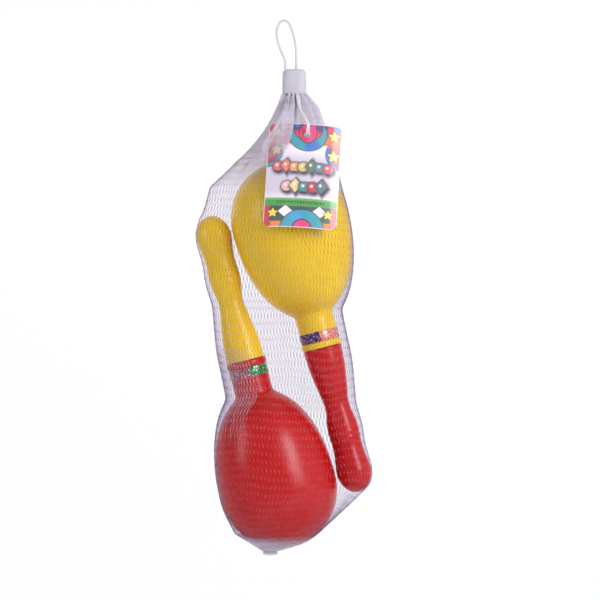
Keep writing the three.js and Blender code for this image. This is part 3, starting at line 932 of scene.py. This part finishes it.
class Print:
    """Colours laid over one another by distance from a shape's edge, which is negative inside.
    Lengths are in mm."""

    def __init__(self, x, z, ground):
        self.x, self.z = x, z
        self.colours = np.tile(np.array(srgb(*ground)), (len(x), 1))

    def paint(self, distance, colour, edge=0.16):
        share = np.clip(0.5 - distance / edge, 0, 1)[:, None]
        self.colours = self.colours * (1 - share) + np.array(srgb(*colour)) * share

    def outline(self, distance, colour, line):
        """Paints a shape inside a dark line."""
        self.paint(distance - line, ink)
        self.paint(distance, colour)

    def disc(self, x, z, radius, squash=1.0):
        return np.hypot(self.x - x, (self.z - z) / squash) - radius

    def band(self, low, high):
        return np.maximum(low - self.z, self.z - high)

    def strip(self, left, right):
        return np.maximum(left - self.x, self.x - right)

    def lozenge(self, x, z, half_width, half_height):
        return (np.abs(self.x - x) / half_width + np.abs(self.z - z) / half_height - 1) * half_width

    def tile(self, x, z, half):
        sides = np.abs(self.x - x) ** 4 + np.abs(self.z - z) ** 4
        return sides**0.25 - half

    def star(self, x, z, size):
        angle = np.arctan2(self.x - x, self.z - z) * 5 / (2 * np.pi)
        valley = np.abs((angle % 1) * 2 - 1)
        return np.hypot(self.x - x, self.z - z) - size * (0.48 + 0.52 * valley**1.3)


def card_print(x, z):
    """Generic party print: a red and orange banner with stars and an arc, two rows of coloured beads
    on white, a green stripe, and a band with an arch at the foot."""
    pink, red, orange = (226, 30, 116), (205, 24, 58), (240, 120, 30)
    yellow, teal, blue, green = (246, 212, 60), (22, 150, 170), (32, 104, 190), (52, 150, 48)
    page = Print(x, z, (236, 228, 240))
    half_width, top, foot = 20.75, 31, -31

    page.paint(page.band(-12, 12), (206, 196, 214), edge=5)
    page.paint(np.minimum(page.disc(-21, 13, 8.5), page.disc(21, 13, 8.5)), ink)
    page.paint(np.minimum(page.disc(-22, 13.4, 8.2), page.disc(22, 13.4, 8.2)), (176, 34, 70))
    for side in (-1, 1):
        arm = np.abs(page.disc(side * 21.5, 14, 8.3)) - 0.9
        page.outline(arm, teal if side < 0 else blue, 0.35)
    banner = page.band(19.2, top)
    page.outline(banner, red, 0.4)
    page.paint(np.maximum(banner, page.band(19, 23)), orange, edge=5)
    page.paint(np.maximum(banner, page.strip(-13, -8.6)), pink, edge=1.5)
    page.paint(page.disc(-5.5, 30, 3.2), (66, 30, 120))
    page.paint(page.disc(-4.6, 30.4, 1.5), blue)
    page.paint(page.disc(9.4, 30, 3.6), (66, 30, 120))
    page.paint(page.disc(19, 29.6, 2.6), blue)

    smile = np.maximum(page.disc(1.6, 24.6, 10.6, 0.92), -page.disc(1.6, 28.4, 8.6, 0.9))
    page.outline(smile, teal, 0.5)
    page.paint(np.maximum(smile, page.disc(4.5, 17.5, 4.2)), blue, edge=2.5)
    tongue = np.maximum(page.disc(1.6, 25.8, 4.8, 1.25), -page.disc(1.6, 32, 2.2, 1.6))
    page.outline(tongue, pink, 0.5)
    page.paint(page.disc(0.4, 24, 2.4, 1.4), (196, 22, 60), edge=1)

    for star_x, star_z, size in ((-15.5, 25.6, 3.3), (16.6, 24.4, 3.5), (-15.6, 15, 3.2), (16.8, 12.6, 3.6)):
        page.paint(page.star(star_x, star_z, size + 0.7), ink)
        page.paint(page.star(star_x, star_z, size), yellow)
        page.paint(page.star(star_x + 0.3, star_z + 0.4, size * 0.45), (252, 238, 150), edge=0.6)

    upper_beads = ((224, 92, 100), (228, 120, 96), (232, 150, 70), (214, 190, 96), (70, 120, 70),
                   (40, 128, 132), (206, 50, 84))
    lower_beads = ((232, 170, 176), (226, 206, 130), (30, 138, 146), (196, 30, 60), (84, 110, 120))
    shapes = (
        page.disc,
        lambda x, z, r: page.lozenge(x, z, r * 1.15, r * 1.45),
        lambda x, z, r: page.tile(x, z, r * 0.92),
    )
    for row_z, start, pitch, size, colours in (
        (5.2, -14.4, 4.75, 2.75, upper_beads),
        (-6.6, -8.8, 4.9, 2.95, lower_beads),
    ):
        for k, colour in enumerate(colours):
            bead_x = start + pitch * k
            bead_z = row_z + 0.5 * math.sin(1.9 * k)
            shape = shapes[k % 3]
            page.paint(shape(bead_x + 0.8, bead_z - 1.0, size + 1.5), (112, 96, 118), edge=1.8)
            page.paint(shape(bead_x + 0.7, bead_z - 0.9, size + 0.5), ink, edge=0.5)
            page.paint(shape(bead_x, bead_z, size + 0.5), (66, 44, 62))
            page.paint(shape(bead_x, bead_z, size), colour)
            page.paint(shape(bead_x - 0.5, bead_z + 0.6, size * 0.28), (240, 226, 226), edge=0.8)

    stripe = page.band(-18.4, -13.8)
    page.paint(stripe, green)
    page.paint(np.maximum(stripe, page.band(-14.8, -13.8)), (96, 180, 80), edge=1)
    for k in range(17):
        page.paint(page.lozenge(-13 + 1.6 * k, -16.1, 0.62, 1.0), (24, 70, 30))

    base = page.band(foot - 1, -18.4)
    page.paint(base, (34, 74, 60))
    page.paint(np.maximum(base, page.strip(-half_width, -17.5)), red, edge=1)
    page.paint(np.maximum(base, page.strip(17.2, half_width)), red, edge=1)
    page.paint(np.maximum(base, page.band(foot - 1, -27.6)), orange)
    for side in (-1, 1):
        page.outline(page.lozenge(side * 9.6 + 1, -21.6, 4.2, 3.6), (242, 236, 246), 0.3)
        page.paint(page.star(side * 15.6, -22.6, 3.0) - 0.4, ink)
        page.paint(page.star(side * 15.6, -22.6, 2.9), yellow)
        page.paint(page.disc(side * 18.6, -29.4, 2.2), (190, 20, 54))
    arch = np.maximum(page.disc(1.2, -32.5, 12.2, 0.98), base)
    page.outline(arch, teal, 0.5)
    page.paint(np.maximum(arch, page.disc(-2.4, -25, 3.4)), (60, 150, 214), edge=2.5)
    page.paint(page.disc(1.2, -31.4, 5.2) - 0.4, ink)
    page.paint(page.disc(1.2, -31.4, 4.9), pink)

    border = np.minimum(half_width - np.abs(page.x), top - np.abs(page.z))
    page.paint(border - 0.35, (228, 224, 232), edge=0.3)
    return page.colours


def card_sheet():
    """The card's front sheet as a fine grid with round corners, and a patch of rings round its hole."""
    half_width, half_height = card_width / 2, card_height / 2
    patch_half, rings = 2.6 * MM, 5
    t = np.linspace(-1, 1, 181)
    bend_rows = half_height - card_corner * (1 - np.sin(np.linspace(0, np.pi / 2, 18)))
    flat_rows = np.linspace(-(half_height - card_corner), half_height - card_corner, 235)
    z = np.concatenate([-bend_rows[:0:-1], flat_rows, bend_rows[1:]])
    past = np.clip(np.abs(z) - (half_height - card_corner), 0, card_corner)
    reach = half_width - card_corner + np.sqrt(card_corner**2 - past**2)
    x = t[None, :] * reach[:, None]
    z = np.repeat(z[:, None], len(t), axis=1)
    index = np.arange(x.size).reshape(x.shape)
    near_row = np.where(np.abs(z[:, 0] - card_hole[1]) < patch_half)[0]
    near_column = np.where(np.abs(x[len(x) // 2] - card_hole[0]) < patch_half)[0]
    top, low, left, right = near_row[-1], near_row[0], near_column[0], near_column[-1]
    cells = cell_corners(index)
    keep = np.ones(cells.shape[:2], bool)
    keep[low:top, left:right] = False
    quads = cells[keep]
    edge = np.concatenate([
        index[low, left:right], index[low:top, right], index[top, left + 1 : right + 1][::-1],
        index[low + 1 : top + 1, left][::-1],
    ])
    points = np.stack([x.ravel(), z.ravel()], axis=1)
    border = points[edge] - card_hole
    rim = unit(border) * card_hole_radius
    patch, previous = [], edge
    for k in range(1, rings + 1):
        patch.append(card_hole + border + (rim - border) * k / rings)
        ring = len(points) + (k - 1) * len(edge) + np.arange(len(edge))
        quads = np.vstack([
            quads, np.stack([previous, np.roll(previous, -1), np.roll(ring, -1), ring], axis=1)
        ])
        previous = ring
    points = np.vstack([points] + patch)
    used = np.unique(quads)
    renumber = np.full(len(points), -1)
    renumber[used] = np.arange(len(used))
    return points[used, 0], points[used, 1], renumber[quads]


def card_looks():
    face = Look("card_print", Roughness=0.3, Coat_Weight=0.6, Coat_Roughness=0.08, IOR=1.5)
    colour = face.node("Attribute", attribute_name="print").outputs["Color"]
    fade = face.spread(face.noise(70, 3), 0.0, 0.16)
    face.tint(face.mix(fade, colour, srgb(236, 232, 240)))
    face.vary_roughness(face.noise(400, 3), 0.22, 0.42)
    face.bump(face.noise(60, 2), 0.15, 0.0006)
    board = Look("card_board", Roughness=0.85)
    fibre = board.noise(1400, 4)
    board.tint(board.mix(fibre, srgb(196, 190, 182), srgb(226, 222, 214)))
    board.bump(fibre, 0.3, 0.0001)
    return face.material, board.material


def make_card():
    x, z, quads = card_sheet()
    wave = 0.25 * MM * np.sin(z / card_height * 7 + 0.6) * (x / card_width)
    mesh = quad_mesh("printed_card", on_card(x, z, wave - card_thickness / 2), quads)
    colours = mesh.attributes.new("print", "FLOAT_COLOR", "POINT")
    colours.data.foreach_set("color", card_print(x / MM, z / MM).astype(np.float32).ravel())
    face, board = card_looks()
    card = add_object(mesh, face)
    mesh.materials.append(board)
    solid = card.modifiers.new("thickness", "SOLIDIFY")
    solid.thickness = card_thickness
    solid.offset = -1
    solid.material_offset = 1
    solid.material_offset_rim = 1
    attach(card, "pack")
    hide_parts("header_card")


def make_tie():
    """A soft flat strap from the cap's mouth, over the card's top edge and back through its hole."""
    samples, sides = 90, 28
    half_width, half_thickness = 1.0 * MM, 0.35 * MM
    hole = on_card(card_hole[0], card_hole[1])
    start = np.array([cap_x + 1.5 * MM, -3.4 * MM, cap_bottom + 0.5 * MM])
    route = [
        start,
        start + np.array([0.9, -5.2, -4]) * MM,
        start + np.array([1.9, -11.2, -10.5]) * MM,
        hole + np.array([0, -2.2, 6.5]) * MM,
        hole + np.array([0, -1.6, 1.6]) * MM,
        hole + np.array([0, 1.3, -0.2]) * MM,
    ]
    centre = catmull_rom(route, samples)
    tangent = unit(np.gradient(centre, axis=0))
    across = unit(np.array([1.0, 0, 0]) - tangent * tangent[:, :1])
    thick = np.cross(across, tangent)
    angle = circle(sides)
    wide = half_width * (1 + 0.12 * np.sin(np.linspace(0, 9, samples)))[:, None]
    flat_x = np.sign(np.cos(angle)) * np.abs(np.cos(angle)) ** 0.55 * wide
    flat_y = np.sin(angle) * half_thickness * (1 + 0.35 * np.cos(3 * angle) ** 2)
    rings = centre[:, None] + flat_x[..., None] * across[:, None] + flat_y[None, :, None] * thick[:, None]
    tie = add_object(bar("card_strap", centre, rings), tie_look)
    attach(tie, "pack")
    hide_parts("card_tie")


tie_look = plain_plastic("tie_plastic", (222, 216, 228), 0.35)
make_card()
make_tie()

# ---- folds of the net


def row_at(z):
    """The row of the net's table at a height."""
    return np.argmin(np.abs(net_points[:, :, 2].mean(axis=1) - z))


def line_at(x, z):
    """The number of the strand at the net's front that crosses x at height z."""
    row = row_at(z)
    front = np.where(net_points[row, :, 1] < 0)[0]
    return line_number(front[np.argmin(np.abs(net_points[row, front, 0] - x))] / net_columns)


def line_number(turn):
    return int(turn * 2 * net_cells)


def drop_at(z):
    return row_at(z) / (net_rows - 1)


def over_card(place):
    """Points moved forward where the net laps over the card's left side."""
    lap_gap, lap_width, above = 0.8 * MM, 12 * MM, 6 * MM
    card_left = card_centre[0] - card_width / 2
    x, z = place[..., 0], place[..., 2]
    local_x = np.clip(x - card_centre[0], -card_width / 2, card_width / 2)
    local_z = (z - card_centre[2]) / math.cos(card_tilt)
    local_z = np.clip(local_z, -card_height / 2, card_height / 2 + above)
    front = on_card(local_x, local_z)[..., 1] - lap_gap
    share = smoothstep(x, card_left - lap_width, card_left - 1 * MM)
    share = share * smoothstep(z, -0.092, -0.080) * (1 - smoothstep(z, -0.056, -0.044))
    place = place.copy()
    place[..., 1] = place[..., 1] + np.minimum(front - place[..., 1], 0) * share
    return place


strands("net_lap", line_at(-0.036, -0.1), line_at(-0.010, -0.1), drop_at(-0.044), drop_at(-0.094),
        lift=0.5 * MM, shift=0.4, push=over_card, cloudy=0.5)
strands("net_fold", line_number(0.27), line_at(-0.0195, -0.225), drop_at(-0.19), drop_at(-0.25),
        lift=0.6 * MM, shift=0.4, cloudy=0.2)
